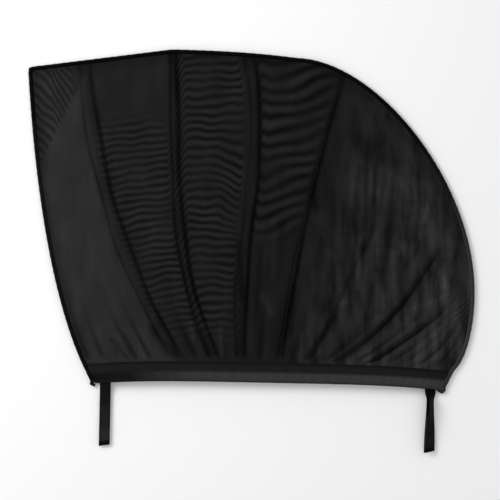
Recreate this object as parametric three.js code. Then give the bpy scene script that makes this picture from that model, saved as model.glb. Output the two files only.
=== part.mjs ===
// Pull-on sunshade for a car's rear side window: a sock of two stretch-mesh panels, sewn together
// round the left side, the top and the right side, and open along its gathered elastic hem.
// Millimetres. The shade lies flat: X along the hem, Y from the hem to the top, Z up from the table.
import * as THREE from 'three';
import { mergeVertices } from 'three/addons/utils/BufferGeometryUtils.js';

// Outline of a panel, from the hem's left end, clockwise
const hemLength = 530;
const topCornerLean = 105; // the top left corner stands out beyond the hem's left end
const topCornerHeight = 474;
const peakAlong = 110; // highest point of the top edge, from the hem's left end
const peakHeight = 505;
const shoulderAlong = 298; // where the top edge turns down
const shoulderHeight = 496;
const sideBulge = 43; // the right side's widest point stands out beyond the hem's right end
const sideHeight = 143;
const hemFlareLeft = 15; // how far each end of the hem slants out over the casing's height
const hemFlareRight = 14;
const hemBow = 7; // the elastic draws the middle of the hem up
const bowReach = 300; // height over which this fades

// Cloth and sewing
const meshThickness = 0.8;
const clearance = 0.3; // between pieces that are sewn together
const bindingWall = 0.7;
const bindingGrip = 5; // how far the binding reaches over the panels
const bindingChamfer = 0.8;
const casingHeight = 30;
const casingWall = 0.5;
const casingSlot = 1.8; // room between the casing's two walls
const casingGrip = 6; // how much of a panel is held in its casing
const elasticWidth = 15;
const elasticThickness = 1.2;

// How the cloth stands: the front panel's loft over the back one, its folds and its gathers
const loft = 10;
const loftReach = 20; // distance from the sewn edge over which the front panel rises
const flatMargin = 6; // a panel stays flat this far beyond the binding
const freeReach = 20; // and its folds and gathers are full this far beyond that
const foldRise = 4.5;
const foldWidth = 15;
const foldFade = 0.12; // share of the way up over which a fold grows and dies out
const gatherCount = 24;
const gatherRise = 2.2;
const gatherStart = 14; // height over the casing at which the gathers are full
const gatherReach = 70; // how far they run up from the hem
const backGatherRise = 0.8;

// Straps
const strapWidth = 16;
const strapThickness = 1;
const strapLength = 94; // below the hem
const strapOverlap = 18; // sewn to the casing
const strapInset = 12; // from the hem's end to the strap
const padLength = 50;
const padThickness = 1.2;
const padEndGap = 4; // from the pad to the strap's end
const twistStart = 62; // degrees, right straps just below the hem
const twistEnd = 28; // degrees, at their free ends
const strapTurn = 16; // length over which a strap leaves the hem
const strapStep = 7; // spacing of the points along a strap

// Heights in the stack of cloth where the layers are sewn together
const casingThickness = casingSlot + 2 * casingWall;
const backLevel = casingThickness / 2;
const frontLevel = backLevel + casingThickness + clearance;
const bindingThickness = frontLevel + casingThickness / 2;
const pairThickness = 2 * (strapThickness + padThickness) + 3 * clearance;

// Colours
const meshBlack = new THREE.MeshStandardMaterial({ color: 0x1f1f20, roughness: 0.85, metalness: 0 });
const seamBlack = new THREE.MeshStandardMaterial({ color: 0x0b0b0c, roughness: 0.75, metalness: 0 });
const hemBlack = new THREE.MeshStandardMaterial({ color: 0x29292a, roughness: 0.85, metalness: 0 });
const elasticBlack = new THREE.MeshStandardMaterial({ color: 0x353536, roughness: 0.7, metalness: 0 });
const strapBlack = new THREE.MeshStandardMaterial({ color: 0x1a1a1b, roughness: 0.7, metalness: 0 });
const loopBlack = new THREE.MeshStandardMaterial({ color: 0x222223, roughness: 0.95, metalness: 0 });
const hookBlack = new THREE.MeshStandardMaterial({ color: 0x141415, roughness: 0.5, metalness: 0 });

const point = (x, y) => new THREE.Vector2(x, y);
const mix = THREE.MathUtils.lerp;
const smooth = THREE.MathUtils.smoothstep;

// Outline curves. The sides run straight over the casing and curve above it.
const hemTop = casingHeight + clearance;
const hemLeft = point(0, 0);
const hemRight = point(hemLength, 0);
const leftStart = point(-hemFlareLeft, hemTop);
const rightStart = point(hemLength + hemFlareRight, hemTop);
const topCorner = point(-topCornerLean, topCornerHeight);
const peak = point(peakAlong, peakHeight);
const shoulder = point(shoulderAlong, shoulderHeight);
const widest = point(hemLength + sideBulge, sideHeight);

const leftSide = new THREE.CubicBezierCurve(
  leftStart,
  point(-0.65 * topCornerLean, 0.3 * topCornerHeight),
  point(-0.9 * topCornerLean, 0.69 * topCornerHeight),
  topCorner,
);
const rightSide = new THREE.CubicBezierCurve(
  rightStart,
  point(hemLength + 0.72 * sideBulge, 0.31 * sideHeight),
  point(hemLength + sideBulge, 0.63 * sideHeight),
  widest,
);
const topSlope = new THREE.LineCurve(topCorner, peak);
const topArch = new THREE.QuadraticBezierCurve(
  peak,
  point(mix(peakAlong, shoulderAlong, 0.6), peakHeight),
  shoulder,
);
const roundedSide = new THREE.CubicBezierCurve(
  shoulder,
  point(mix(shoulderAlong, widest.x, 0.44), shoulderHeight),
  point(widest.x, mix(sideHeight, shoulderHeight, 0.48)),
  widest,
);
const topEdge = new THREE.CurvePath();
topEdge.add(topSlope);
topEdge.add(topArch);
topEdge.add(roundedSide);

// The sewn outline as a line of points, clockwise from the hem's left end to its right end
const outline = [
  hemLeft,
  ...leftSide.getPoints(12),
  ...topSlope.getPoints(4).slice(1),
  ...topArch.getPoints(6).slice(1),
  ...roundedSide.getPoints(22).slice(1),
  ...rightSide.getPoints(8).reverse().slice(1),
  hemRight,
];
const inSpace = (at) => new THREE.Vector3(at.x, at.y, 0);
const outlineStretches = outline.slice(1).map((at, i) => new THREE.Line3(inSpace(outline[i]), inSpace(at)));

// Long folds, left to right: hem is the share of the hem where a fold starts and edge the share of
// the top edge that it points at, low and high are how far it bows sideways a third and two thirds
// up, as shares of the hem, rise is its height against foldRise, and reach is the share of the way
// up where it dies out
const folds = [
  { hem: 0.0, edge: 0.0, low: 0, high: 0 },
  { hem: 0.26, edge: 0.095, low: -0.082, high: -0.066, rise: 0.9, reach: 1 },
  { hem: 0.36, edge: 0.246, low: -0.098, high: -0.026, rise: 1, reach: 1 },
  { hem: 0.43, edge: 0.374, low: -0.038, high: 0.07, rise: 1, reach: 1 },
  { hem: 0.53, edge: 0.541, low: -0.022, high: -0.03, rise: 1.1, reach: 1 },
  { hem: 0.6, edge: 0.695, low: 0.009, high: 0.009, rise: 0.4, reach: 0.7 },
  { hem: 0.665, edge: 0.871, low: 0.109, high: -0.012, rise: 0.9, reach: 0.85 },
  { hem: 0.76, edge: 0.96, low: 0.038, high: 0.047, rise: 0.6, reach: 0.65 },
  { hem: 1.0, edge: 1.0, low: 0, high: 0 },
];
const firstFold = folds[1].hem;
const lastFold = folds[folds.length - 2].hem;

// Smooth value between the folds, for a share of the hem
function between(share, key) {
  let i = 1;
  while (i < folds.length - 1 && share > folds[i].hem) i += 1;
  const [a, b] = [folds[i - 1], folds[i]];
  return mix(a[key], b[key], (share - a.hem) / (b.hem - a.hem));
}

const sideX = (start, end, y) => mix(end.x, start.x, y / hemTop);
const leftX = (y) => sideX(leftStart, hemLeft, y);
const rightX = (y) => sideX(rightStart, hemRight, y);
const hemX = (share, y) => mix(leftX(y), rightX(y), share);

// A point of a panel in plan: share runs along the hem, up runs from the casing (0) to the edge (1),
// and below 0 the cloth goes straight down into the casing
function planPoint(share, up) {
  if (up < 0) {
    const y = hemTop + up * (casingGrip + clearance);
    return point(hemX(share, y), y);
  }
  if (share === 0) return leftSide.getPoint(up);
  if (share === 1) return rightSide.getPoint(up);
  const start = point(hemX(share, hemTop), hemTop);
  const end = topEdge.getPoint(between(share, 'edge'));
  const low = start.clone().lerp(end, 1 / 3);
  const high = start.clone().lerp(end, 2 / 3);
  const atSide = Math.max(1 - share / firstFold, (share - lastFold) / (1 - lastFold), 0);
  const side = share < 0.5 ? leftSide : rightSide;
  low.x += between(share, 'low') * hemLength;
  high.x += between(share, 'high') * hemLength;
  const fold = new THREE.CubicBezierCurve(start, low, high, end).getPoint(up);
  const straight = side.v0.clone().lerp(side.v3, up);
  const bow = side.getPoint(up).sub(straight).multiplyScalar(atSide);
  return fold.add(bow);
}

// How far the front layer stands up at a distance from the outline
const grip = bindingGrip + clearance;
const rise = (distance) => loft * (1 - Math.exp(-Math.max(distance - grip, 0) / loftReach));

// Distance in plan from the nearest stretch of the sewn outline
function edgeDistance(at) {
  const here = inSpace(at);
  const nearest = new THREE.Vector3();
  let distance = Infinity;
  for (const stretch of outlineStretches) {
    stretch.closestPointToPoint(here, true, nearest);
    distance = Math.min(distance, here.distanceTo(nearest));
  }
  return distance;
}

const foldProfile = (distance) =>
  Math.abs(distance) < foldWidth / 2 ? 0.5 + 0.5 * Math.cos((2 * Math.PI * distance) / foldWidth) : 0;

// Two waves of unlike lengths, so that the gathers are uneven
function gatherWave(share) {
  const turn = 2 * Math.PI * gatherCount * share;
  return 0.7 * Math.cos(turn) + 0.3 * Math.cos(0.72 * turn + 1);
}

// Height of the long folds over the front panel
function foldHeight(share, up, at) {
  if (up <= 0) return 0;
  let height = 0;
  for (const fold of folds) {
    if (!fold.rise) continue;
    const crest = planPoint(fold.hem, up);
    const across = at.distanceTo(crest) * Math.sign(share - fold.hem);
    height += fold.rise * foldRise * foldProfile(across) * smooth(fold.reach - up, 0, foldFade);
  }
  return height * smooth(up, 0, foldFade);
}

function gatherHeight(share, at, height) {
  const above = at.y - hemTop;
  const inSides = smooth(Math.min(share, 1 - share), 0, 0.03);
  if (above <= 0) return 0;
  const full = Math.min(above / gatherStart, 1);
  return height * gatherWave(share) * inSides * full * Math.exp(-above / gatherReach);
}

function frontHeight(share, up, at) {
  const distance = edgeDistance(at) - flatMargin * smooth(up, 0, 0.04);
  const free = smooth(distance, bindingGrip, bindingGrip + freeReach);
  const relief = foldHeight(share, up, at) + gatherHeight(share, at, gatherRise);
  return frontLevel + rise(distance) + free * relief;
}

function backHeight(share, up, at) {
  const inside = edgeDistance(at) - grip - flatMargin;
  const free = smooth(inside, 0, freeReach) * smooth(at.y - hemTop, 0, gatherStart);
  const lowest = meshThickness / 2;
  const ruffle = 0.5 * (backGatherRise + gatherHeight(share, at, backGatherRise));
  return mix(backLevel, lowest + ruffle, free);
}

// Closed sheet: a flat block of cells whose corners are moved to place(share, up) and height
function clothPanel(shares, ups, height) {
  const geometry = new THREE.BoxGeometry(1, 1, 1, shares.length - 1, ups.length - 1, 1);
  const corners = geometry.attributes.position;
  for (let i = 0; i < corners.count; i += 1) {
    const share = shares[Math.round((corners.getX(i) + 0.5) * (shares.length - 1))];
    const up = ups[Math.round((corners.getY(i) + 0.5) * (ups.length - 1))];
    const at = planPoint(share, up);
    corners.setXYZ(i, at.x, at.y, height(share, up, at) + corners.getZ(i) * meshThickness);
  }
  return geometry;
}

// Columns of a panel: four to each gather, and five on every fold where the folds are asked for
function columns(count, onFolds) {
  const list = Array.from({ length: count + 1 }, (_, i) => i / count);
  if (!onFolds) return list;
  const spread = foldWidth / (2 * hemLength);
  const creases = folds.filter((fold) => fold.rise);
  const near = (share) => creases.some((fold) => Math.abs(share - fold.hem) < spread);
  const kept = list.filter((share) => !near(share));
  for (const fold of creases) {
    for (const side of [-1, -0.5, 0, 0.5, 1]) kept.push(fold.hem + side * spread * 0.7);
  }
  return kept.sort((a, b) => a - b);
}

const frontRows = [-1, 0, 0.04, 0.1, 0.17, 0.26, 0.38, 0.52, 0.67, 0.8, 0.9, 0.95, 0.98, 1];
const backRows = [-1, 0, 0.05, 0.12, 0.3, 0.6, 0.9, 0.96, 1];

// Strip along the hem, with its ends at a distance from the binding's line: profile points are
// (up from the hem's edge, height), and a lifted strip has closer steps at its ends, where it rises
function hemStrip(profile, level, lifted, distance) {
  const section = new THREE.Shape(profile.map(([y, z]) => point(y, z)));
  const steps = lifted ? 40 : 4;
  const geometry = new THREE.ExtrudeGeometry(section, { depth: 1, steps, bevelEnabled: false });
  const endGap = distance * Math.hypot(1, hemFlareLeft / hemTop);
  const corners = geometry.attributes.position;
  for (let i = 0; i < corners.count; i += 1) {
    const y = corners.getX(i);
    const share = lifted ? 0.5 - 0.5 * Math.cos(Math.PI * corners.getZ(i)) : corners.getZ(i);
    const x = mix(leftX(y) + endGap, rightX(y) - endGap, share);
    const lift = lifted ? rise(edgeDistance(point(x, y))) : 0;
    corners.setXYZ(i, x, y, level + corners.getY(i) + lift);
  }
  return geometry;
}

// Folded casing: a strip folded in half along the hem's edge, open at the top for the panel
function casing(level, lifted) {
  const outer = casingThickness / 2;
  const inner = casingSlot / 2;
  const fold = casingWall;
  const profile = [
    [casingHeight, -outer],
    [casingHeight, -inner],
    [fold, -inner],
    [fold, inner],
    [casingHeight, inner],
    [casingHeight, outer],
    [fold, outer],
    [0, inner],
    [0, -inner],
    [fold, -outer],
  ];
  return hemStrip(profile.reverse(), level, lifted, grip + clearance);
}

function elastic(level, lifted) {
  const low = casingWall + clearance;
  const half = elasticThickness / 2;
  const profile = [
    [low, -half],
    [low + elasticWidth, -half],
    [low + elasticWidth, half],
    [low, half],
  ];
  return hemStrip(profile, level, lifted, grip + 2 * clearance);
}

// Binding: a folded tape with a U-shaped section, swept round the outline with mitred corners
function binding() {
  const out = clearance + bindingWall;
  const top = bindingThickness;
  const section = [
    [-bindingGrip, 0],
    [out - bindingChamfer, 0],
    [out, bindingChamfer],
    [out, top - bindingChamfer],
    [out - bindingChamfer, top],
    [-bindingGrip, top],
    [-bindingGrip, top - bindingWall],
    [clearance, top - bindingWall],
    [clearance, bindingWall],
    [-bindingGrip, bindingWall],
  ];
  const shape = new THREE.Shape(section.map(([n, z]) => point(n, z)));
  const steps = outline.length - 1;
  const geometry = new THREE.ExtrudeGeometry(shape, { depth: 1, steps, bevelEnabled: false });
  const corners = geometry.attributes.position;
  for (let i = 0; i < corners.count; i += 1) {
    const station = Math.round(corners.getZ(i) * steps);
    const outward = outwardAt(outline, station);
    const offset = corners.getX(i);
    const at = outline[station];
    corners.setXYZ(i, at.x + outward.x * offset, at.y + outward.y * offset, corners.getY(i));
  }
  return geometry;
}

// Outward direction in plan at a point of a clockwise line, longer where the line turns
function outwardAt(line, i) {
  const before = line[i].clone().sub(line[Math.max(i - 1, 0)]).normalize();
  const after = line[Math.min(i + 1, line.length - 1)].clone().sub(line[i]).normalize();
  const along = i === 0 ? after : i === line.length - 1 ? before : before.clone().add(after).normalize();
  const stretch = i === 0 || i === line.length - 1 ? 1 : 1 / along.dot(after);
  return point(-along.y * stretch, along.x * stretch);
}

// Strap, or a pad on it. The front and back straps lie on each other and leave the mouth of the hem
// from between its two casings. low and high are heights in the closed pair, from its lower face.
function strapPiece(side, low, high, from, to, root) {
  const steps = Math.round((to - from) / strapStep);
  const geometry = new THREE.BoxGeometry(1, 1, 1, 2, steps, 1);
  const corners = geometry.attributes.position;
  const inset = strapInset + strapWidth / 2;
  const middle = side === 'left' ? inset : hemLength - inset;
  for (let i = 0; i < corners.count; i += 1) {
    const across = corners.getX(i) * strapWidth;
    const y = mix(from, to, corners.getY(i) + 0.5);
    const layer = mix(low, high, corners.getZ(i) + 0.5);
    const out = smooth(-y, strapStep / 2, strapTurn);
    const angle = side === 'left' ? 0 : THREE.MathUtils.degToRad(twistAt(-y));
    const stand = (strapWidth / 2) * Math.sin(angle) + (pairThickness / 2) * Math.cos(angle);
    const above = layer - pairThickness / 2;
    const free = point(
      middle + across * Math.cos(angle) + above * Math.sin(angle),
      stand - across * Math.sin(angle) + above * Math.cos(angle),
    );
    const sewn = point(middle + across, root(middle + across, Math.max(y, 0), layer - low));
    const at = sewn.lerp(free, out);
    corners.setXYZ(i, at.x, y, at.y);
  }
  return geometry;
}

const twistAt = (below) => mix(twistStart, twistEnd, smooth(below, strapTurn, strapLength));

// Where the sewn ends lie: the back strap on the back casing, the front strap under the front one
const onBackCasing = (x, y, height) => casingThickness + clearance + height;
const underFrontCasing = (x, y, height) => {
  const face = frontLevel - casingThickness / 2 + rise(edgeDistance(point(x, y)));
  return face - clearance - strapThickness + height;
};

// How far the bowed hem draws a point up, whichever piece it belongs to
function drawnUp(x, y) {
  const pull = 1 - Math.min(Math.abs((2 * x) / hemLength - 1), 1) ** 4;
  return hemBow * pull * smooth(y, -strapLength, 0) * (1 - smooth(y, hemTop, hemTop + bowReach));
}

const shade = new THREE.Group();

function addPiece(name, geometry, material) {
  const bare = new THREE.BufferGeometry();
  const loose = geometry.index ? geometry.toNonIndexed() : geometry;
  const corners = loose.attributes.position;
  for (let i = 0; i < corners.count; i += 1) {
    const [x, y] = [corners.getX(i), corners.getY(i)];
    corners.setY(i, y + drawnUp(x, y));
  }
  bare.setAttribute('position', corners);
  const mesh = new THREE.Mesh(mergeVertices(bare, 1e-4), material);
  mesh.name = name;
  shade.add(mesh);
}

addPiece('front_mesh_panel', clothPanel(columns(4 * gatherCount, true), frontRows, frontHeight), meshBlack);
addPiece('back_mesh_panel', clothPanel(columns(2 * gatherCount, false), backRows, backHeight), meshBlack);
addPiece('edge_binding', binding(), seamBlack);
addPiece('front_hem_casing', casing(frontLevel, true), hemBlack);
addPiece('back_hem_casing', casing(backLevel, false), hemBlack);
addPiece('front_hem_elastic', elastic(frontLevel, true), elasticBlack);
addPiece('back_hem_elastic', elastic(backLevel, false), elasticBlack);

const padFrom = -strapLength + padEndGap;
const padTo = padFrom + padLength;
const hookBase = strapThickness + clearance;
const loopBase = hookBase + padThickness + clearance;
const frontBase = loopBase + padThickness + clearance;
for (const side of ['left', 'right']) {
  const end = -strapLength;
  const back = strapPiece(side, 0, strapThickness, end, strapOverlap, onBackCasing);
  const front = strapPiece(side, frontBase, pairThickness, end, strapOverlap, underFrontCasing);
  const hooks = strapPiece(side, hookBase, hookBase + padThickness, padFrom, padTo, onBackCasing);
  const loops = strapPiece(side, loopBase, loopBase + padThickness, padFrom, padTo, onBackCasing);
  addPiece(`${side}_back_strap`, back, strapBlack);
  addPiece(`${side}_hook_pad`, hooks, hookBlack);
  addPiece(`${side}_loop_pad`, loops, loopBlack);
  addPiece(`${side}_front_strap`, front, strapBlack);
}

// The origin is the middle of the shade's box, on the surface that it lies on
const box = new THREE.Box3().setFromObject(shade);
shade.position.set(-(box.min.x + box.max.x) / 2, -(box.min.y + box.max.y) / 2, -box.min.z);

export default shade;
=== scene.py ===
"""Loose pull-on sunshade for a car's rear side window, lying flat, seen from straight above."""
import math

import bmesh
import bpy
import numpy as np
from mathutils import Matrix, Vector


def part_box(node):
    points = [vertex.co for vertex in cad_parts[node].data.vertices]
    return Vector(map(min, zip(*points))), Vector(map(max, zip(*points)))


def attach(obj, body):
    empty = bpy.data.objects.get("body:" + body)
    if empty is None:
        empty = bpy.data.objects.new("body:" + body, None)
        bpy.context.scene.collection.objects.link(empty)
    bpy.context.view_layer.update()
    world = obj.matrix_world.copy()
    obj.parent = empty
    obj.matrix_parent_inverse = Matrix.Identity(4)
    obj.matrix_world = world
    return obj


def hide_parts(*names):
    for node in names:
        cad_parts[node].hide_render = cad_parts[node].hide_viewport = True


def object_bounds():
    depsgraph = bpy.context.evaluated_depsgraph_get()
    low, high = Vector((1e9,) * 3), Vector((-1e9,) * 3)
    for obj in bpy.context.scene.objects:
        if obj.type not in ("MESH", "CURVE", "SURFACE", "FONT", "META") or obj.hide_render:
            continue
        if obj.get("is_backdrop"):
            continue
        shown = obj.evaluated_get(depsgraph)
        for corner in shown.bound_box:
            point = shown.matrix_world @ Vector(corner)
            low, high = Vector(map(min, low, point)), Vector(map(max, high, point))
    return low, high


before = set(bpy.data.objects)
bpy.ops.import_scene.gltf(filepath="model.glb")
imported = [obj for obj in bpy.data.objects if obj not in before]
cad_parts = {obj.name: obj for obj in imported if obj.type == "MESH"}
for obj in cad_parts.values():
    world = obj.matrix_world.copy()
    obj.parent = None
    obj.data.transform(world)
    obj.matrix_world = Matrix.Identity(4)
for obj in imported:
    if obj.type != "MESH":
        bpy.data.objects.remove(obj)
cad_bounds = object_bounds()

# Front mesh panel: one sheet of black stretch mesh, cut to the window's shape. It is sewn into the
# binding round three sides and gathered into the hem casing, which throws up the long folds.
hem_length = 0.530
top_corner = np.array([-0.105, 0.474])
peak = np.array([0.110, 0.505])
shoulder = np.array([0.298, 0.496])
widest = np.array([0.573, 0.143])
hem_flare = (0.015, 0.014)
casing_height = 0.030
casing_grip = 0.006
sewing_gap = 0.0003
binding_grip = 0.005
top_length = 0.87
held_flat = 0.006
mesh_thickness = 0.0008
loft = 0.010
loft_reach = 0.020
fold_rise = 0.0045
fold_fade = 0.12
flank_width = 0.007
flank_shade_reach = 0.0032
crest_shade_reach = 0.011
gather_count = 24
gather_rise = 0.0022
gather_start = 0.014
gather_reach = 0.070
crease_rise = 0.0012
rumple_rise = 0.00035
wrinkle_rise = 0.0006
hem_bow = 0.007
bow_reach = 0.300
strap_width = 0.016
strap_length = 0.094
strap_inset = 0.020

hem_top = casing_height + sewing_gap
front_level = 0.0045
back_level = 0.0014

# The pattern is drawn from the left end of the hem's lower edge, which the left strap's box gives
strap_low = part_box("left_front_strap")[0]
hem_corner = np.array([strap_low.x + strap_width / 2 - strap_inset, strap_low.y + strap_length])

# Each long fold: its share of the hem and of the top edge, how far it bows sideways a third and two
# thirds up, its height against the highest one, the share of the way up where it dies out, half the
# distance between its two flanks at the hem and at the edge, and how dark the painted shade on its flanks
# is
folds = np.array([
    (0.000, 0.000, 0.000, 0.000, 0.0, 1.0, 0.0000, 0.0000, 0.0),
    (0.260, 0.095, -0.0435, -0.0350, 0.9, 1.2, 0.0085, 0.0090, 0.70),
    (0.360, 0.246, -0.0520, -0.0138, 1.0, 1.2, 0.0065, 0.0048, 1.00),
    (0.430, 0.374, -0.0201, 0.0371, 1.0, 1.2, 0.0080, 0.0068, 0.85),
    (0.530, 0.541, -0.0117, -0.0159, 1.1, 1.2, 0.0030, 0.0020, 0.85),
    (0.600, 0.695, 0.0048, 0.0048, 0.4, 0.7, 0.0040, 0.0040, 0.30),
    (0.665, 0.871, 0.0578, -0.0064, 0.9, 0.85, 0.0020, 0.0015, 0.80),
    (0.760, 0.960, 0.0201, 0.0249, 0.6, 0.65, 0.0020, 0.0020, 0.60),
    (1.000, 1.000, 0.000, 0.000, 0.0, 1.0, 0.0000, 0.0000, 0.0),
])

# Creases between the folds, in millimetres: both ends, half the width, and how much painted highlight (a
# ridge) or painted shade (a valley) it gets against the cloth round it; the same amount lifts or sinks it
creases = np.array([
    (399, 228, 396, 148, 3.0, 1.1), (413, 336, 418, 250, 3.4, 0.45), (424, 170, 434, 120, 4.5, 0.6),
    (458, 250, 464, 210, 6.5, 0.75), (476, 312, 498, 272, 7.0, 0.6), (494, 272, 508, 200, 5.0, 0.35),
    (444, 326, 478, 290, 6.0, 0.45), (256, 132, 270, 104, 5.0, 0.8), (384, 366, 390, 300, 7.0, 0.35),
    (270, 250, 270, 160, 3.6, 0.4), (356, 205, 362, 140, 6.0, 0.3), (368, 110, 383, 132, 6.0, 0.5),
    (192, 84, 194, 42, 2.6, 0.7), (147, 90, 152, 62, 3.2, 0.6), (512, 190, 527, 160, 5.0, 0.5),
    (407, 330, 405, 240, 4.0, -0.45), (301, 150, 298, 76, 5.0, -0.6), (326, 310, 332, 268, 6.0, -0.6),
    (345, 68, 372, 116, 4.0, -0.45), (217, 212, 225, 125, 4.6, -0.65), (28, 66, 52, 36, 3.0, -0.45),
    (37, 72, 62, 36, 2.8, 0.3), (50, 70, 66, 36, 2.8, -0.5), (62, 76, 78, 36, 2.4, 0.35),
    (86, 82, 126, 38, 4.0, -0.45), (437, 240, 441, 150, 4.5, -0.4), (372, 310, 374, 190, 8.0, -0.2),
    (344, 340, 352, 220, 8.0, -0.2), (250, 205, 246, 100, 4.0, -0.4), (283, 245, 279, 160, 5.0, -0.3),
    (466, 180, 502, 236, 5.0, -0.3), (508, 255, 526, 205, 4.0, 0.3), (478, 118, 524, 138, 4.0, 0.3),
    (466, 94, 520, 108, 4.0, 0.25), (328, 58, 354, 104, 4.0, 0.35), (402, 84, 432, 106, 4.0, 0.3),
    (424, 300, 430, 200, 5.0, 0.3), (394, 330, 390, 240, 5.0, -0.3), (450, 200, 446, 130, 5.0, 0.3),
    (336, 180, 340, 110, 6.0, -0.3), (318, 240, 312, 150, 5.0, 0.2), (100, 110, 96, 70, 5.0, -0.2),
    (5, 150, 12, 90, 6.0, -0.15), (-30, 160, -22, 110, 5.0, 0.15), (-8, 230, 0, 150, 8.0, 0.08),
    (488, 300, 502, 230, 16.0, 0.30), (392, 350, 396, 290, 14.0, 0.15), (520, 190, 535, 130, 14.0, 0.22),
    (448, 270, 446, 216, 7.0, -0.35),
])


def smooth(value, low, high):
    """0 below low, 1 above high, with soft ends."""
    t = np.clip((value - low) / (high - low), 0, 1)
    return t * t * (3 - 2 * t)


def bezier(a, b, c, d, t):
    """Cubic curve through points a and d; t is an array, and the points may be arrays too."""
    t = np.asarray(t)[..., None]
    return (1 - t) ** 3 * a + 3 * (1 - t) ** 2 * t * b + 3 * (1 - t) * t * t * c + t ** 3 * d


left_start = np.array([-hem_flare[0], hem_top])
right_start = np.array([hem_length + hem_flare[1], hem_top])
left_curve = (left_start, np.array([0.65 * top_corner[0], 0.3 * top_corner[1]]),
              np.array([0.9 * top_corner[0], 0.69 * top_corner[1]]), top_corner)
side_bulge = widest[0] - hem_length
right_curve = (right_start, np.array([hem_length + 0.72 * side_bulge, 0.31 * widest[1]]),
               np.array([widest[0], 0.63 * widest[1]]), widest)
arch_middle = np.array([peak[0] + 0.6 * (shoulder[0] - peak[0]), peak[1]])
steps = np.linspace(0, 1, 60)
arch = (peak + (arch_middle - peak) * 2 / 3, shoulder + (arch_middle - shoulder) * 2 / 3)
round_side = (np.array([shoulder[0] + 0.44 * (widest[0] - shoulder[0]), shoulder[1]]),
              np.array([widest[0], widest[1] + 0.48 * (shoulder[1] - widest[1])]))

# The sewn edge: the straight top slope, the arch and the rounded side, from corner to corner
top_line = np.concatenate([
    top_corner + (peak - top_corner) * steps[:-1, None],
    bezier(peak, arch[0], arch[1], shoulder, steps[:-1]),
    bezier(shoulder, round_side[0], round_side[1], widest, steps),
])
outline = np.concatenate([
    [[0.0, 0.0]], bezier(*left_curve, steps[:-1]), top_line,
    bezier(*right_curve, steps[-2::-1]), [[hem_length, 0.0]],
])


def along(line, share):
    """Points of a line of points, at shares of its length."""
    lengths = np.concatenate([[0], np.cumsum(np.linalg.norm(np.diff(line, axis=0), axis=1))])
    where = np.asarray(share) * lengths[-1]
    return np.stack([np.interp(where, lengths, line[:, k]) for k in (0, 1)], -1)


def hem_x(share, y):
    """Across the pattern at a share of the hem, which flares a little up to the casing's top."""
    left = -hem_flare[0] * y / hem_top
    right = hem_length + hem_flare[1] * y / hem_top
    return left + (right - left) * share


def plan(share, up):
    """Where a point of a panel lies: share runs along the hem, up from the casing's top to the edge."""
    value = {key: np.interp(share, folds[:, 0], folds[:, column])
             for key, column in (("edge", 1), ("low", 2), ("high", 3))}
    start = np.stack([hem_x(share, hem_top), np.full_like(share, hem_top)], -1)
    end = along(top_line, value["edge"])
    low = start + (end - start) / 3 + np.stack([value["low"], 0 * share], -1)
    high = start + (end - start) * 2 / 3 + np.stack([value["high"], 0 * share], -1)
    t = np.clip(up, 0, 1)
    point = bezier(start, low, high, end, t)
    for curve, weight in ((left_curve, 1 - share / folds[1, 0]),
                          (right_curve, (share - folds[-2, 0]) / (1 - folds[-2, 0]))):
        straight = curve[0] + (curve[3] - curve[0]) * t[..., None]
        point = point + (bezier(*curve, t) - straight) * np.clip(weight, 0, 1)[..., None]
    inside = np.minimum(up, 0) * casing_grip
    held = np.stack([hem_x(share, hem_top + inside), hem_top + inside], -1)
    return np.where((up < 0)[..., None], held, point)


def edge_distance(point):
    """Distance in plan from the sewn outline."""
    flat = point.reshape(-1, 2)
    nearest = np.full(len(flat), np.inf)
    for a, b in zip(outline[:-1], outline[1:]):
        run = b - a
        t = np.clip((flat - a) @ run / (run @ run), 0, 1)
        nearest = np.minimum(nearest, np.linalg.norm(flat - a - t[:, None] * run, axis=1))
    return nearest.reshape(point.shape[:-1])


def rise(distance):
    """How far the front layer stands up at a distance from the outline."""
    return loft * (1 - np.exp(-np.maximum(distance - binding_grip - sewing_gap, 0) / loft_reach))


def fold_relief(share, up, point):
    """Height of the long folds, and the painted shade on their steep flanks, two dark lines a fold, with a
    little over the crest; the denser folded-over cloth darkens them too.
    """
    height = np.zeros_like(share)
    shade = np.zeros_like(share)
    for hem, _, _, _, amount, reach, low_half, high_half, dark in folds[1:-1]:
        crest = plan(np.full_like(share, hem), up)
        across = np.linalg.norm(point - crest, axis=-1)
        half = low_half + (high_half - low_half) * np.clip(up, 0, 1)
        half = half * (1 + 0.15 * np.sin(37 * point[..., 1] + 50 * hem))
        fades = smooth(reach - up, 0, fold_fade)
        flank = smooth(across - half, -3 / 7 * flank_width, 4 / 7 * flank_width)
        height += amount * fold_rise * (1 - flank) * fades
        uneven = 0.8 + 0.2 * np.sin(43 * point[..., 1] + 90 * hem) * np.sin(17 * point[..., 1])
        # Painted shade on both flanks and a little over the crest, deepened by the denser folded cloth
        shade += dark * uneven * np.exp(-((across - half) / flank_shade_reach) ** 2) * fades
        shade += 0.18 * dark * np.exp(-(across / crest_shade_reach) ** 2) * fades
    return height * smooth(up, 0, fold_fade), np.clip(shade, 0, 0.9) * smooth(up, 0, 0.03)


def crease_relief(point):
    """Painted light of the single creases, highlight on a ridge and shade in a valley, each strongest on
    its middle line. It sets their height too.
    """
    light = np.zeros(point.shape[:-1])
    for x0, y0, x1, y1, half, amount in creases:
        start = np.array([x0, y0]) / 1000
        run = np.array([x1, y1]) / 1000 - start
        t = np.clip((point - start) @ run / (run @ run), 0, 1)
        away = np.linalg.norm(point - start - t[..., None] * run, axis=-1)
        light += amount * np.exp(-(away * 1000 / half) ** 2)
    return light


def gathers(share, point):
    """Height of the gathers over the hem, from -1 to 1, fading upwards."""
    above = np.maximum(point[..., 1] - hem_top, 0)
    wave = 0.7 * np.cos(2 * np.pi * gather_count * share)
    wave += 0.3 * np.cos(2 * np.pi * 0.72 * gather_count * share + 1)
    wave *= smooth(np.minimum(share, 1 - share), 0, 0.03)
    return wave * np.minimum(above / gather_start, 1) * np.exp(-above / gather_reach)


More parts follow.
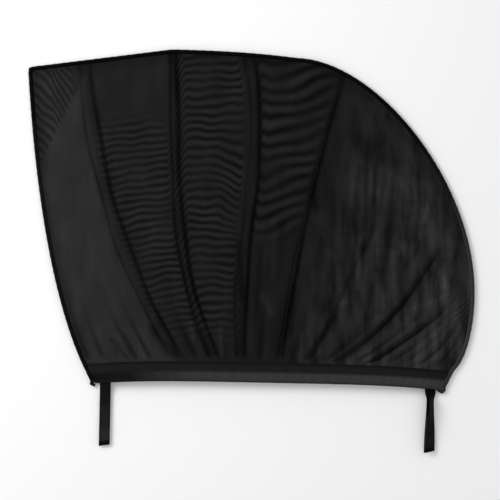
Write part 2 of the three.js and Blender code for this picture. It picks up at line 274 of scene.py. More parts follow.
def wrinkles(share, point, up):
    """Small irregular creases: soft rumples all over, deeper ones on the rounded side."""
    x, y = point[..., 0], point[..., 1]
    rumple = np.sin(61 * x + 17 * y + 2 * np.sin(23 * y)) * np.sin(37 * y - 19 * x + 1.3)
    rumple += 0.6 * np.sin(103 * x - 31 * y + 3 * np.sin(29 * y + 1)) * np.sin(47 * y + 13 * x)
    rounded = smooth(share, 0.53, 0.60)
    upright = np.sin(2 * np.pi * 44 * x + 1.6 * np.sin(19 * y + 9 * x) + 2 * np.sin(31 * x + 1))
    upright += 0.6 * np.sin(2 * np.pi * 71 * x + 1.4 * np.sin(26 * y + 2))
    upright *= (0.6 + 0.4 * np.sin(21 * y + 33 * x + 0.7)) * rounded * smooth(up, 0.05, 0.3)
    return rumple_rise * rumple * (1 - 0.4 * rounded) + wrinkle_rise * upright


def front_height(share, up, point):
    """Height of the front panel: it rises from the seam, with folds, gathers and creases on it."""
    distance = edge_distance(point) - held_flat * smooth(up, 0, 0.04)
    free = smooth(distance, binding_grip, binding_grip + 0.02)
    relief = fold_relief(share, up, point)[0] + gather_rise * gathers(share, point)
    relief += (wrinkles(share, point, up) + crease_rise * crease_relief(point)) * smooth(up, 0.02, 0.12)
    return front_level + rise(distance) + free * relief


def link(name, data):
    """New object in the scene, at the origin."""
    piece = bpy.data.objects.new(name, data)
    bpy.context.scene.collection.objects.link(piece)
    return piece


def smooth_faces(mesh):
    for face in mesh.polygons:
        face.use_smooth = True


def from_bmesh(name, bm):
    """New object with the mesh of a finished bmesh."""
    mesh = bpy.data.meshes.new(name)
    bm.to_mesh(mesh)
    bm.free()
    smooth_faces(mesh)
    return link(name, mesh)


def shaped_grid(name, columns, rows, place):
    """Open sheet of cells. place(u, v) gives the points for u and v from 0 to 1."""
    bm = bmesh.new()
    bmesh.ops.create_grid(bm, x_segments=columns, y_segments=rows, size=0.5)
    piece = from_bmesh(name, bm)
    mesh = piece.data
    flat = np.zeros(len(mesh.vertices) * 3)
    mesh.vertices.foreach_get("co", flat)
    flat = flat.reshape(-1, 3)
    u, v = np.clip(flat[:, 0] + 0.5, 0, 1), np.clip(flat[:, 1] + 0.5, 0, 1)
    mesh.vertices.foreach_set("co", np.asarray(place(u, v)).astype(float).ravel())
    mesh.update()
    return piece, u, v


def set_uv(piece, coordinates):
    """Cloth coordinates in metres, one pair for each vertex."""
    mesh = piece.data
    layer = mesh.uv_layers.new(name="cloth")
    corners = np.zeros(len(mesh.loops), int)
    mesh.loops.foreach_get("vertex_index", corners)
    layer.data.foreach_set("uv", coordinates[corners].ravel())


def set_value(piece, name, values):
    """A value for each vertex, which a material reads by its name."""
    layer = piece.data.attributes.new(name, "FLOAT", "POINT")
    layer.data.foreach_set("value", values.astype(np.float32))


def in_frame(point, height):
    """A point of the pattern in the part's own frame. The elastic draws the middle of the hem up."""
    x, y = point[..., 0], point[..., 1]
    pull = 1 - np.minimum(np.abs(2 * x / hem_length - 1), 1) ** 4
    drawn_up = hem_bow * pull * smooth(y, -strap_length, 0)
    drawn_up *= 1 - smooth(y, hem_top, hem_top + bow_reach)
    height = np.broadcast_to(height, x.shape)
    return np.stack([x + hem_corner[0], y + drawn_up + hem_corner[1], height], -1)


def thicken(piece, thickness):
    """Gives a sheet its thickness, half on each side."""
    solid = piece.modifiers.new("cloth thickness", "SOLIDIFY")
    solid.thickness = thickness
    solid.offset = 0
    view = bpy.context.evaluated_depsgraph_get()
    piece.data = bpy.data.meshes.new_from_object(
        piece.evaluated_get(view), preserve_all_data_layers=True, depsgraph=view)
    piece.modifiers.clear()
    smooth_faces(piece.data)


hole_pitch = 0.0016
row_pitch = hole_pitch * 2 / 1.15


class Signal:
    """A socket of a material's node tree that can be used in sums."""

    def __init__(self, tree, socket):
        self.tree = tree
        self.socket = socket

    def node(self, kind, settings=None, values=None, output=0):
        new = self.tree.nodes.new(kind)
        for name, setting in (settings or {}).items():
            setattr(new, name, setting)
        for key, value in (values or {}).items():
            if isinstance(value, Signal):
                self.tree.links.new(value.socket, new.inputs[key])
            else:
                new.inputs[key].default_value = value
        return Signal(self.tree, new.outputs[output])

    def math(self, operation, *values):
        return self.node("ShaderNodeMath", {"operation": operation}, dict(enumerate((self, *values))))

    def __add__(self, other):
        return self.math("ADD", other)

    def __mul__(self, other):
        return self.math("MULTIPLY", other)

    def __sub__(self, other):
        return self.math("SUBTRACT", other)

    def __rsub__(self, other):
        return self.math("MULTIPLY", -1.0).math("ADD", other)

    __radd__ = __add__
    __rmul__ = __mul__

    def cos(self):
        return self.math("COSINE")

    def between(self, low, high):
        """0 below low and 1 above high, with soft ends."""
        settings = {"interpolation_type": "SMOOTHSTEP"}
        return self.node("ShaderNodeMapRange", settings, {"Value": self, "From Min": low, "From Max": high})

    def bump(self, strength, distance):
        values = {"Strength": strength, "Distance": distance, "Height": self}
        return self.node("ShaderNodeBump", values=values)


def new_material(name, roughness, specular):
    """A material, its surface, and a signal from which its node tree is built."""
    material = bpy.data.materials.new(name)
    material.use_nodes = True
    surface = material.node_tree.nodes["Principled BSDF"]
    surface.inputs["Roughness"].default_value = roughness
    surface.inputs["Specular IOR Level"].default_value = specular
    return material, surface, Signal(material.node_tree, surface.inputs["Roughness"])


def drive(surface, socket, signal):
    signal.tree.links.new(signal.socket, surface.inputs[socket])


def attribute(start, name):
    """The value that a piece's vertices carry under this name."""
    return start.node("ShaderNodeAttribute", {"attribute_name": name}, output="Fac")


def cloth_uv(start):
    """The two cloth coordinates, in metres."""
    uv = start.node("ShaderNodeUVMap", {"uv_map": "cloth"})
    across = uv.node("ShaderNodeSeparateXYZ", values={0: uv})
    return across, Signal(across.tree, across.socket.node.outputs[1])


def mesh_holes(u, v, size):
    """Knitted holes in staggered rows: 1 in a hole, 0 on the threads. A larger size opens them."""
    across = (u * (2 * math.pi / hole_pitch)).cos()
    up = (v * (2 * math.pi / row_pitch)).cos()
    return (across * up + size).between(0.9, 1.1)


def panel_material(name):
    material, surface, start = new_material(name, roughness=0.6, specular=0.045)
    u, v = cloth_uv(start)
    hole = mesh_holes(u, v, attribute(start, "openness"))
    stripe = attribute(start, "stripe_phase").cos() * attribute(start, "stripe_depth")
    # Mottle over the cloth, with painted sheen in upright streaks where it is strongest, on the rounded
    # side
    place = start.node("ShaderNodeTexCoord", output="Object")
    upright = start.node("ShaderNodeMapping", values={"Vector": place, "Scale": (1.0, 0.25, 0.0)})
    spot = start.node("ShaderNodeTexNoise", values={"Scale": 62.0, "Detail": 3.0, "Roughness": 0.55,
                      "Distortion": 0.2, "Vector": upright})
    spotted = (spot - 0.5) * attribute(start, "sheen_mottle") + 1.0
    drive(surface, "Base Color", attribute(start, "tone") * (stripe + 1.0) * spotted)
    drive(surface, "Alpha", 1.0 - hole)
    drive(surface, "Normal", (1.0 - hole).bump(0.3, 0.0003))
    return material


# Tone of the cloth between the folds, at shares of the hem. It holds how much shows through the mesh, and
# painted light too: the left stretch and the rounded side are lighter where the cloth faces the light
zone_share = np.array([0.0, 0.15, 0.24, 0.265, 0.35, 0.37, 0.425, 0.44, 0.52, 0.54, 0.66, 0.8, 1.0])
zone_tone = np.array([0.0250, 0.0250, 0.0230, 0.0125, 0.0120, 0.0110, 0.0105, 0.0095, 0.0090, 0.0110,
                      0.0185, 0.0305, 0.0325])
back_tone = 0.006
back_openness = 0.2
kink_x = 0.186
wrinkle_light = 260
wrinkle_mean = 0.0002


def stripes(share, point):
    """Moire of the two layers, which differs between the folds: its phase, its strength, and where the
    slanting stripes of the top left corner are."""
    x, y = point[..., 0], point[..., 1]
    fine = share < folds[3, 0]
    slant = np.interp(share, [0, 0.10, 0.26, 0.36, 0.43, 0.45, 0.53, 1],
                      [-0.9, -0.9, 0.15, 0.14, 0.10, 0.05, 0.12, 0.3])
    period = np.interp(share, [0, 0.2, 0.26, 0.35, 0.37, 0.42, 0.44, 0.53, 0.7, 1],
                       [0.015, 0.015, 0.0108, 0.0108, 0.0128, 0.0128, 0.021, 0.021, 0.013, 0.013])
    kink = np.maximum(x - kink_x, 0) * 0.55 * smooth(y, 0.20, 0.26) * smooth(-y, -0.40, -0.34) * fine
    bend = 1.2 * np.sin(23 * x + 9 * y) * fine + 0.9 * np.sin(60 * x + 20 * y) * ~fine
    bend += (0.5 * np.sin(97 * x + 41 * y) + 0.5 * np.sin(171 * x - 60 * y + 2)) * fine
    bend += 0.7 * np.sin(83 * y + 30 * x)
    phase = 2 * np.pi * (y - slant * x + kink) / period + bend
    depth = np.interp(share, [0, 0.25, 0.272, 0.35, 0.37, 0.42, 0.44, 0.515, 0.535, 1],
                      [0, 0, 0.66, 0.72, 0.74, 0.74, 0.85, 0.80, 0.05, 0.05])
    depth *= (0.72 + 0.28 * np.sin(61 * x + 1) * np.sin(44 * y)) * smooth(y, 0.05, 0.1)
    plain_top = np.where(share < folds[2, 0], smooth(-y, -0.415, -0.375), 1)
    rumpled = np.where((share > folds[3, 0]) & (share < folds[4, 0]), smooth(y, 0.20, 0.26), 1)
    corner = smooth(y - 0.365 - 2.1 * (x + 0.067), -0.004, 0.006) * (share < folds[1, 0])
    side = smooth(share, 0.80, 0.86) * smooth(y, 0.08, 0.13) * smooth(-y, -0.26, -0.2)
    return phase, depth * plain_top * rumpled + 0.45 * corner + 0.3 * side, corner


def make_panel(name, node, columns, rows, height, material, front):
    """One mesh panel: its cells are finer towards the hem, and its first rows are in the casing."""
    middles = 0.5 * (folds[:, 0] + folds[:, 1])
    held = 0.02

    def cloth(u, v):
        share = np.interp(u, middles, folds[:, 0])
        up = np.where(v < held, v / held - 1, (np.maximum(v - held, 0) / (1 - held)) ** 1.2)
        return share, up

    def place(u, v):
        share, up = cloth(u, v)
        point = plan(share, up)
        return in_frame(point, height(share, up, point))

    piece, u, v = shaped_grid(name, columns, rows, place)
    share, up = cloth(u, v)
    point = plan(share, up)
    length = np.linalg.norm(plan(share, np.ones_like(up)) - plan(share, np.zeros_like(up)), axis=1)
    width = 0.5 * (hem_length * share + top_length * np.interp(share, folds[:, 0], folds[:, 1]))
    set_uv(piece, np.stack([width, up * length], -1))
    phase, depth, corner = stripes(share, point)
    # Painted highlight on the ridges of the creases and painted shade in their valleys
    light = 1 + crease_relief(point)
    # Painted shade on the flanks of the long folds
    light = np.clip(light, 0.25, 3) * (1 - fold_relief(share, up, point)[1])
    # Painted shade in the valleys of the gathers over the hem
    light *= 1 - 0.5 * smooth(-gathers(share, point), 0.05, 0.6)
    # Painted highlight on the crests of the wrinkles and painted shade in their hollows
    light *= 1 + wrinkle_light * (wrinkles(share, point, up) - wrinkle_mean)
    light *= (1 - 0.3 * corner) * (0.72 + 0.28 * smooth(edge_distance(point), 0.006, 0.03))
    tone = np.interp(share, zone_share, zone_tone) * light
    rounded = smooth(share, 0.53, 0.57)
    openness = np.interp(share, zone_share, 0.02 + 12 * zone_tone)
    set_value(piece, "tone", tone if front else np.full_like(share, back_tone))
    set_value(piece, "stripe_phase", phase)
    set_value(piece, "stripe_depth", depth * front)
    # The mottle is strongest on the rounded side: painted sheen along its wrinkles
    set_value(piece, "sheen_mottle", (0.7 + 2.7 * rounded) * front)
    set_value(piece, "openness", openness if front else np.full_like(share, back_openness))
    piece.data.materials.append(material)
    thicken(piece, mesh_thickness)
    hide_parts(node)
    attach(piece, "root")
    return piece


front_mesh = panel_material("black stretch mesh, front")
front_panel = make_panel("front_panel", "front_mesh_panel", 340, 124, front_height, front_mesh, True)

# Back mesh panel: the same cut in the same mesh. It lies flat on the surface, with light ruffles
# over its own hem, and shows through the front panel.
ruffle_rise = 0.0004


def back_height(share, up, point):
    inside = edge_distance(point) - binding_grip - sewing_gap - held_flat
    free = smooth(inside, 0, 0.02) * smooth(point[..., 1] - hem_top, 0, gather_start)
    ruffle = ruffle_rise * (1 + gathers(share, point))
    return back_level + (mesh_thickness / 2 + ruffle - back_level) * free


back_mesh = panel_material("black stretch mesh, back")
back_panel = make_panel("back_panel", "back_mesh_panel", 200, 80, back_height, back_mesh, False)

# Edge binding: a narrow black tape, folded over the two panels and their raw edges and overlocked,
# which holds them together round the left side, the top and the right side.
binding_thickness = 0.0059
binding_wall = 0.0007
binding_tape_width = 0.024
station_count = 700
corner_reach = 0.0055
rib_out = 0.00022
rib_rise = 0.0002
slow_rib, quick_rib = 0.0125, 0.0081


def close_seam(piece):
    """Joins the first and last rows of a sheet that was rolled into a tube, and closes its ends."""
    bm = bmesh.new()
    bm.from_mesh(piece.data)
    bmesh.ops.remove_doubles(bm, verts=bm.verts, dist=1e-6)
    bmesh.ops.holes_fill(bm, edges=[edge for edge in bm.edges if edge.is_boundary], sides=0)
    bmesh.ops.recalc_face_normals(bm, faces=bm.faces)
    bm.to_mesh(piece.data)
    bm.free()
    smooth_faces(piece.data)


def rounded_line(count, reach):
    """The outline at even steps, with its corners rounded over reach, and its outward direction."""
    share = np.linspace(0, 1, count)
    length = np.linalg.norm(np.diff(outline, axis=0), axis=1).sum()
    window = np.linspace(-reach, reach, 9)[:, None] / length
    near = along(outline, np.clip(share + window, 0, 1))
    line = near.mean(0)
    line[[0, -1]] = outline[[0, -1]]
    run = near[-1] - near[0]
    run /= np.linalg.norm(run, axis=1)[:, None]
    return share, length, line, np.stack([-run[:, 1], run[:, 0]], -1)


edge_share, edge_length, edge_line, edge_outward = rounded_line(station_count, corner_reach)

# Section of the tape as a closed line of points: outwards from the outline, and height
lip, wall, top = -binding_grip, binding_wall, binding_thickness
binding_section = np.array([
    (lip, wall), (lip, 0.0001), (-0.003, 0.0), (-0.001, 0.0), (0.0001, 0.0002), (0.0008, 0.0010),
    (0.001, 0.0020), (0.001, 0.0029), (0.001, 0.0040), (0.0008, 0.0050), (0.0001, 0.0057), (-0.001, top),
    (-0.003, top), (lip, top - 0.0001), (lip, top - wall), (-0.002, top - wall), (0.0, top - wall - 0.0003),
    (0.0003, 0.0045), (0.0003, 0.0014), (0.0, wall + 0.0003), (-0.002, wall), (lip, wall),
])


def binding_ribs(share):
    """Small unevenness along the binding, where the overlock draws it in."""
    run = share * edge_length
    slow = np.sin(run * 2 * np.pi / slow_rib)
    quick = np.sin(run * 2 * np.pi / quick_rib + 2 * np.sin(run * 13))
    return 0.6 * slow + 0.4 * quick


def on_binding(share, section):
    """A point of the binding, at a share of its length and a place in its section."""
    at = np.stack([np.interp(share, edge_share, edge_line[:, k]) for k in (0, 1)], -1)
    outward = np.stack([np.interp(share, edge_share, edge_outward[:, k]) for k in (0, 1)], -1)
    outward /= np.linalg.norm(outward, axis=-1)[..., None]
    rib = binding_ribs(share)
    offset = section[..., 0] + rib_out * rib * (section[..., 0] > -0.0005)
    height = section[..., 1] + rib_rise * rib * smooth(section[..., 1], 0.003, 0.006)
    return in_frame(at + outward * offset[..., None], height)


def on_section(section, v):
    """Points of a section's line, at shares of its number of steps."""
    steps = np.arange(len(section))
    return np.stack([np.interp(v * (len(section) - 1), steps, section[:, k]) for k in (0, 1)], -1)


def place_binding(u, v):
    return on_binding(u, on_section(binding_section, v))


# Tone of the binding, at shares of its length: dark along the top, and lighter on the rounded side, a
# painted highlight where the rolled edge catches the light
edge_tone = ([0, 0.03, 0.10, 0.2, 0.262, 0.27, 0.72, 0.80, 0.86, 0.95, 1.0],
             [0.004, 0.004, 0.007, 0.009, 0.006, 0.0008, 0.0008, 0.012, 0.042, 0.056, 0.036])


def ribbed_tape(name, pitch, roughness, specular):
    """Woven tape or knit with fine ribs both ways."""
    material, surface, start = new_material(name, roughness=roughness, specular=specular)
    u, v = cloth_uv(start)
    ribs = (u * (2 * math.pi / pitch)).cos() * (v * (2 * math.pi / pitch)).cos()
    drive(surface, "Base Color", attribute(start, "tone") * (ribs * 0.25 + 1.0))
    drive(surface, "Normal", ribs.bump(0.35, 0.0002))
    return material


binding, u, v = shaped_grid("binding", station_count - 1, len(binding_section) - 1, place_binding)
set_uv(binding, np.stack([u * edge_length, v * binding_tape_width], -1))
set_value(binding, "tone", np.interp(u, *edge_tone))
close_seam(binding)
binding_tape = ribbed_tape("black binding tape", 0.0011, 0.6, 0.03)
binding.data.materials.append(binding_tape)
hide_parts("edge_binding")
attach(binding, "root")

# Overlock threads: one row of spun polyester stitches round the binding, which sews it and both
# panels together. On the rounded side the black thread gets a lighter grey copy, a painted highlight where
# the light falls.
thread_radius = 0.00028
overlock_step = 0.0026
overlock_margin = 0.004
highlight_share = 0.80
inner_lip, outer_face = -0.0042, 0.0011
over_tape = binding_thickness + 0.0001


def plain_material(name, tone, roughness, specular):
    material, surface, _ = new_material(name, roughness, specular)
    surface.inputs["Base Color"].default_value = (tone, tone, tone, 1)
    return material


def sew(name, ends, radius, material):
    """A row of stitches: one short thread between each pair of ends."""
    bm = bmesh.new()
    for a, b in ends:
        run = Vector(b - a)
        turn = run.to_track_quat("Z", "Y").to_matrix().to_4x4()
        stretch = Matrix.Diagonal((1, 1, run.length / radius, 1))
        bmesh.ops.create_cone(bm, cap_ends=True, segments=5, radius1=radius, radius2=radius, depth=radius,
                              matrix=Matrix.Translation(Vector((a + b) / 2)) @ turn @ stretch)
    row = from_bmesh(name, bm)
    row.data.materials.append(material)
    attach(row, "root")


marks = np.arange(overlock_margin, edge_length - overlock_margin, overlock_step) / edge_length
half_step = 0.5 * overlock_step / edge_length


def thread_line(steps, out, height):
    """A point at each mark, some half steps further on."""
    return on_binding(marks + steps * half_step, np.tile([out, height], (len(marks), 1)))


# The thread's way over the tape: from its inner lip to the outline, down its outer face, and on
inner = thread_line(0, inner_lip, over_tape)
outer = thread_line(1, 0.0002, over_tape)
wrap_top = thread_line(1, outer_face, 0.0051)
wrap_low = thread_line(1, outer_face, 0.0008)
next_inner = thread_line(2, inner_lip, over_tape)
black_thread = plain_material("black thread", 0.003, 0.5, 0.06)
# A lighter copy of the black thread: painted highlight on the rounded side
highlit_thread = plain_material("black thread, painted highlight", 0.024, 0.5, 0.06)
for name, part, thread in (("overlock_thread", marks < highlight_share, black_thread),
                           ("highlit_overlock_thread", marks >= highlight_share, highlit_thread)):
    runs = ((inner, outer), (outer, wrap_top), (wrap_top, wrap_low), (outer, next_inner))
    ends = [pair for a, b in runs for pair in zip(a[part], b[part])]
    sew(name, ends, thread_radius, thread)

# Seam-end knots: at both ends of the hem the overlock threads run out in a small matted bunch, which
# closes the end of the binding.
knot_height = 0.0031
knot_half_thickness = 0.0027


def knots(name, places, material):
    """Small rounded knots: place in the pattern, half its length, half its width and its turn."""
    bm = bmesh.new()
    for x, y, length, width, turn in places:
        at = Matrix.Translation(Vector(in_frame(np.array([x, y]), knot_height)))
        shape = Matrix.Diagonal((length, width, knot_half_thickness, 1))
        bmesh.ops.create_uvsphere(bm, u_segments=16, v_segments=10, radius=1,
                                  matrix=at @ Matrix.Rotation(math.radians(turn), 4, "Z") @ shape)
    piece = from_bmesh(name, bm)
    piece.data.materials.append(material)
    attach(piece, "root")


knots("left_seam_knot", [(-0.0004, 0.0006, 0.0038, 0.0030, 60),
                         (0.0018, -0.0022, 0.0032, 0.0022, -30)], black_thread)
# The right knot is in the lighter thread: painted highlight on the rounded side
knots("right_seam_knot", [(0.5306, 0.0010, 0.0042, 0.0030, 70), (0.5280, -0.0024, 0.0036, 0.0024, 20),
                          (0.5236, -0.0012, 0.0030, 0.0022, 0)], highlit_thread)

# Hem casings: a strip of knitted cloth, folded over the gathered edge of each panel and stitched
# twice, above and below its elastic. The front one stands up, the back one lies on the surface.
casing_wall = 0.0005
casing_slot = 0.0018
casing_thickness = casing_slot + 2 * casing_wall
casing_gap = 0.0047
seam_heights = (0.0172, 0.0275)
pucker_rise = 0.00016
casing_row = 0.0025


def puckers(share, y):
    """Small upright creases of the casing, where the elastic draws it in."""
    wave = np.sin(2 * np.pi * 31 * share + 2 * np.sin(9 * share))
    wave += 0.6 * np.sin(2 * np.pi * 53 * share + 3 * np.sin(17 * share))
    return wave * (0.6 + 0.4 * np.sin(2 * np.pi * y / casing_height))


def casing_section(count):
    """The folded strip's section as a closed line of points: up from the hem's edge, and height."""
    outer, slot = casing_thickness / 2, casing_slot / 2
    turn = np.linspace(-np.pi / 2, np.pi / 2, 9)
    round_out = np.stack([outer - outer * np.cos(turn), outer * np.sin(turn)], -1)
    round_in = np.stack([outer - slot * np.cos(turn), -slot * np.sin(turn)], -1)
    rows = np.linspace(0.1 * casing_height, casing_height, count)
    low_out = np.stack([rows[::-1], np.full(count, -outer)], -1)
    high_out = np.stack([rows, np.full(count, outer)], -1)
    high_in = np.stack([rows[::-1], np.full(count, slot)], -1)
    low_in = np.stack([rows, np.full(count, -slot)], -1)
    line = np.concatenate([low_out, round_out, high_out, high_in, round_in, low_in])
    return np.concatenate([line, line[:1]])


def hem_place(share, y, height, level, lifted, gap):
    """A point of what lies in the hem: gap is its distance from both ends of the hem."""
    left, right = hem_x(0, y) + gap, hem_x(1, y) - gap
    point = np.stack([left + (right - left) * share, y], -1)
    lift = rise(edge_distance(point)) if lifted else 0
    return in_frame(point, level + lift + height)


# Tone along the hem, against the tone of its middle, and tone up the front casing
hem_light = ([0, 0.14, 0.24, 0.32, 0.45, 0.6, 0.9, 1], [-0.25, -0.15, 0.4, 0.75, 0.85, 0.8, 1.0, 1.0])
casing_tone = ([0, 0.0015, 0.004, 0.013, 0.0165, 0.0185, 0.024, 0.03],
               [0.014, 0.025, 0.040, 0.040, 0.013, 0.010, 0.010, 0.005])
dull_tone = 0.010


def casing_piece(name, node, level, lifted, material):
    section = casing_section(12)

    def place(u, v):
        y, z = np.moveaxis(on_section(section, v), -1, 0)
        face = 1 if lifted else -1
        outside = smooth(z * face, casing_slot / 2, casing_thickness / 2)
        bulge = 0.0002 * np.exp(-((y - 0.009) / 0.006) ** 2) - 0.0003 * sum(
            np.exp(-((y - seam) / 0.0012) ** 2) for seam in seam_heights)
        moved = z + face * outside * (bulge + pucker_rise * puckers(u, y)) * lifted
        share = 0.5 - 0.5 * np.cos(np.pi * u)
        return hem_place(0.35 * share + 0.65 * u, y, moved, level, lifted, casing_gap)

    piece, u, v = shaped_grid(name, 260, len(section) - 1, place)
    y, z = np.moveaxis(on_section(section, v), -1, 0)
    tone = np.interp(y, *casing_tone)
    tone = np.minimum(tone, dull_tone + (tone - dull_tone) * np.interp(u, *hem_light) * (z > 0))
    # Painted light over the puckers: lighter on their crests, darker between them
    tone *= 1 + 0.07 * puckers(u, y) * smooth(y, 0.002, 0.01)
    set_uv(piece, np.stack([u * hem_length, v * (len(section) - 1) * casing_row], -1))
    set_value(piece, "tone", tone)
    close_seam(piece)
    piece.data.materials.append(material)
    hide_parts(node)
    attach(piece, "root")


hem_cloth = ribbed_tape("black hem knit", 0.0016, 0.6, 0.05)
casing_piece("front_casing", "front_hem_casing", front_level, True, hem_cloth)
casing_piece("back_casing", "back_hem_casing", back_level, False, hem_cloth)

# Hem stitches: two straight rows of black thread along each casing. They hold the folded strip to
# the gathered edge of its panel and keep the elastic in its lower half.
stitch_radius = 0.00022
stitch_step = 0.0034
stitch_length = 0.0023
stitch_share = np.arange(0.006, 0.994, stitch_step / hem_length)
stitch_run = stitch_length / hem_length
for name, level, lifted in (("front_hem_stitches", front_level, True),
                            ("back_hem_stitches", back_level, False)):
    stitches = []
    face = casing_thickness / 2 - 0.0001 if lifted else -casing_thickness / 2 + 0.00025
    for seam in seam_heights:
        row = np.full_like(stitch_share, seam)
        starts = hem_place(stitch_share, row, face, level, lifted, casing_gap)
        ends = hem_place(stitch_share + stitch_run, row, face, level, lifted, casing_gap)
        stitches += list(zip(starts, ends))
    sew(name, stitches, stitch_radius, black_thread)

# Hem elastics: a flat woven elastic in each casing, sewn in at its ends. Stretched while it was sewn
# in, it draws the hem together and makes the gathers.
elastic_width = 0.015
elastic_thickness = 0.0012
elastic_room = 0.0008
elastic_tone = 0.02


def elastic_piece(name, node, level, lifted, material):
    def place(u, v):
        share = 0.5 - 0.5 * np.cos(np.pi * u)
        y = elastic_room + elastic_width * v
        return hem_place(share, y, 0, level, lifted, casing_gap + elastic_room / 2)

    piece, u, v = shaped_grid(name, 120, 6, place)
    set_uv(piece, np.stack([u * hem_length, v * elastic_width], -1))
    set_value(piece, "tone", np.full_like(u, elastic_tone))
    piece.data.materials.append(material)
    thicken(piece, elastic_thickness)
    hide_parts(node)
    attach(piece, "root")


elastic_weave = ribbed_tape("black elastic", 0.0012, 0.5, 0.3)
elastic_piece("front_elastic", "front_hem_elastic", front_level, True, elastic_weave)
elastic_piece("back_elastic", "back_hem_elastic", back_level, False, elastic_weave)

# Straps: at each bottom corner a pair of short woven tapes comes out of the mouth between the two
# casings, one sewn to each of them. They close on each other, and the right pair is twisted.
strap_thickness = 0.001
pad_thickness = 0.0012
strap_gap = 0.0003
strap_overlap = 0.018
pad_from, pad_to = -0.090, -0.040
strap_cell = 0.0012
twist_top, twist_end = 62, 28
sewn_reach = 0.0035
free_from = 0.016
pair_thickness = 2 * (strap_thickness + pad_thickness) + 3 * strap_gap
strap_middle = {"left": strap_inset, "right": hem_length - strap_inset}
hook_base = strap_thickness + strap_gap
loop_base = hook_base + pad_thickness + strap_gap
front_base = loop_base + pad_thickness + strap_gap


def on_strap(side, across, y, layer, root):
    """A point of a strap or pad: across its width, up from the hem's edge, height in the pair. root
    gives the height of what it is sewn to."""
    out = smooth(-y, sewn_reach, free_from)
    turn = np.radians(twist_top + (twist_end - twist_top) * smooth(-y, free_from, strap_length))
    turn = turn if side == "right" else 0 * y
    stand = strap_width / 2 * np.sin(turn) + pair_thickness / 2 * np.cos(turn)
    above = layer - pair_thickness / 2
    free = np.stack([across * np.cos(turn) + above * np.sin(turn),
                     stand - across * np.sin(turn) + above * np.cos(turn)], -1)
    sewn = np.stack([across, root(strap_middle[side] + across, np.maximum(y, 0))], -1)
    x, z = np.moveaxis(sewn + (free - sewn) * out[..., None], -1, 0)
    return in_frame(np.stack([strap_middle[side] + x, y], -1), z)


def on_back(x, y):
    """Middle of a strap that is sewn on the back casing."""
    return casing_thickness + strap_gap + strap_thickness / 2 + 0 * x


def under_front(x, y):
    """Middle of a strap that is sewn under the front casing."""
    face = front_level - casing_thickness / 2 + rise(edge_distance(np.stack([x, y], -1)))
    return face - strap_gap - strap_thickness / 2


def strap_sheet(name, node, side, low, high, start, end, root, material, tone, cut=0.0):
    """A strap or pad from start to end, between two heights in the pair. cut slants its free end."""
    def place(u, v):
        across = (u - 0.5) * strap_width
        y = start + (end - start) * v + cut * u * np.maximum(1 - 4 * v, 0)
        return on_strap(side, across, y, np.full_like(u, (low + high) / 2), root)

    piece, u, v = shaped_grid(name, 12, round((end - start) / strap_cell), place)
    set_uv(piece, np.stack([u * strap_width, v * (end - start)], -1))
    set_value(piece, "tone", tone(start + (end - start) * v, u))
    piece.data.materials.append(material)
    thicken(piece, high - low)
    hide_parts(node)
    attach(piece, "root")


def strap_tone(side):
    """The tape is lighter towards its free end. Its edges get painted shade, and the twisted right pair,
    standing on edge, is painted darker as shade.
    """
    def tone(y, u):
        level = np.interp(-y, [0, 0.006, 0.032, 0.036, 0.066, 0.070, 0.086, 0.088, 0.094],
                          [0.001, 0.005, 0.006, 0.010, 0.011, 0.017, 0.018, 0.002, 0.001])
        # Painted shade along both edges of the tape
        edge_shade = 1 - 0.35 * smooth(np.abs(u - 0.5), 0.40, 0.48)
        # The twisted right pair stands on edge: painted shade darkens it
        return level * edge_shade * (1 if side == "left" else 0.45)
    return tone


def flat_tone(level):
    return lambda y, u: np.full_like(y, level)


strap_weave = ribbed_tape("black strap tape", 0.0018, 0.6, 0.05)
for side in ("left", "right"):
    strap_sheet(f"{side}_strap_back", f"{side}_back_strap", side, 0, strap_thickness,
                -strap_length, strap_overlap, on_back, strap_weave, strap_tone(side), 0.002)
    strap_sheet(f"{side}_strap_front", f"{side}_front_strap", side, front_base, pair_thickness,
                -strap_length, strap_overlap, under_front, strap_weave, strap_tone(side), 0.003)

# Strap stitches: a box of black stitches on each front strap. It goes round the loop pad behind, just
# inside its edges, and holds the pad to the tape.
box_half = 0.0062
box_from, box_to = -0.088, -0.042
box_step = 0.0030
corners = [(-box_half, box_from), (-box_half, box_to), (box_half, box_to), (box_half, box_from),
           (-box_half, box_from)]
for side in ("left", "right"):
    box = []
    for (x0, y0), (x1, y1) in zip(corners[:-1], corners[1:]):
        count = round(math.hypot(x1 - x0, y1 - y0) / box_step)
        runs = []
        for offset in (0.1, 0.8):
            part = (np.arange(count) + offset) / count
            runs.append(on_strap(side, x0 + (x1 - x0) * part, y0 + (y1 - y0) * part,
                                 np.full_like(part, pair_thickness + 0.0001), under_front))
        box += list(zip(*runs))
    sew(f"{side}_strap_stitches", box, stitch_radius, black_thread)

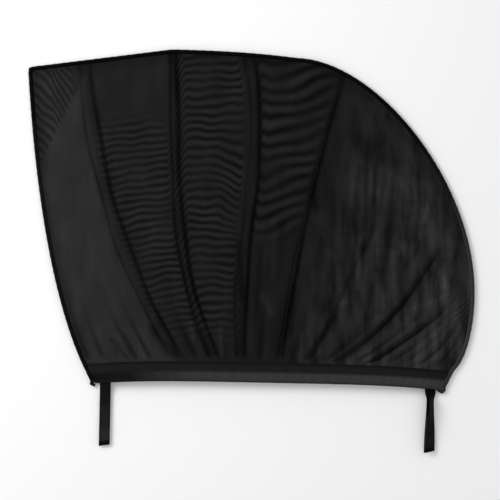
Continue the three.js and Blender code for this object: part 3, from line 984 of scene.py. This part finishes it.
# Pads: the two halves of the hook-and-loop closure between the straps of a pair, moulded hooks on the
# back strap and soft loops on the front one. Each is sewn to its tape.
pad_hooks = ribbed_tape("black hook pad", 0.0016, 0.45, 0.15)
pad_loops = ribbed_tape("black loop pad", 0.0021, 0.9, 0.03)
for side in ("left", "right"):
    strap_sheet(f"{side}_hooks", f"{side}_hook_pad", side, hook_base, hook_base + pad_thickness,
                pad_from, pad_to, on_back, pad_hooks, flat_tone(0.008))
    strap_sheet(f"{side}_loops", f"{side}_loop_pad", side, loop_base, loop_base + pad_thickness,
                pad_from, pad_to, on_back, pad_loops, flat_tone(0.012))

# Floor, light and camera. The shade lies on a white table under a large soft light, and the camera
# looks straight down on it, turned by the small slant of the hem in the photograph.
camera_height = 3.0
view_width = 0.755
sensor_width = 36
hem_slant = math.radians(1.16)
floor_half = 6.0
floor_drop = 0.0003
lamp_place = (-1.6, 0.9, 1.5)

bm = bmesh.new()
bmesh.ops.create_grid(bm, x_segments=1, y_segments=1, size=floor_half)
floor = from_bmesh("floor", bm)
floor.location.z = -floor_drop
floor.data.materials.append(plain_material("white table", 0.97, 0.9, 0.0))
floor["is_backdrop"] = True

world = bpy.data.worlds.new("soft room")
bpy.context.scene.world = world
world.use_nodes = True
world.node_tree.nodes["Background"].inputs["Color"].default_value = (1, 1, 1, 1)
world.node_tree.nodes["Background"].inputs["Strength"].default_value = 0.66

window = bpy.data.lights.new("left window", "AREA")
window.shape = "DISK"
window.size = 1.2
window.energy = 30
lamp = link("left window", window)
lamp.location = lamp_place
lamp.rotation_euler = (-Vector(lamp_place)).to_track_quat("-Z", "Y").to_euler()

camera_data = bpy.data.cameras.new("camera")
camera_data.sensor_width = sensor_width
camera_data.lens = sensor_width * camera_height / view_width
camera = link("camera", camera_data)
camera.location = (0.0, 0.0, camera_height)
camera.rotation_euler = (0.0, 0.0, hem_slant)
bpy.context.scene.camera = camera
bpy.context.scene.view_settings.view_transform = "Standard"

corners = {"cad": [list(corner) for corner in cad_bounds],
           "visual": [list(corner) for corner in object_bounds()]}
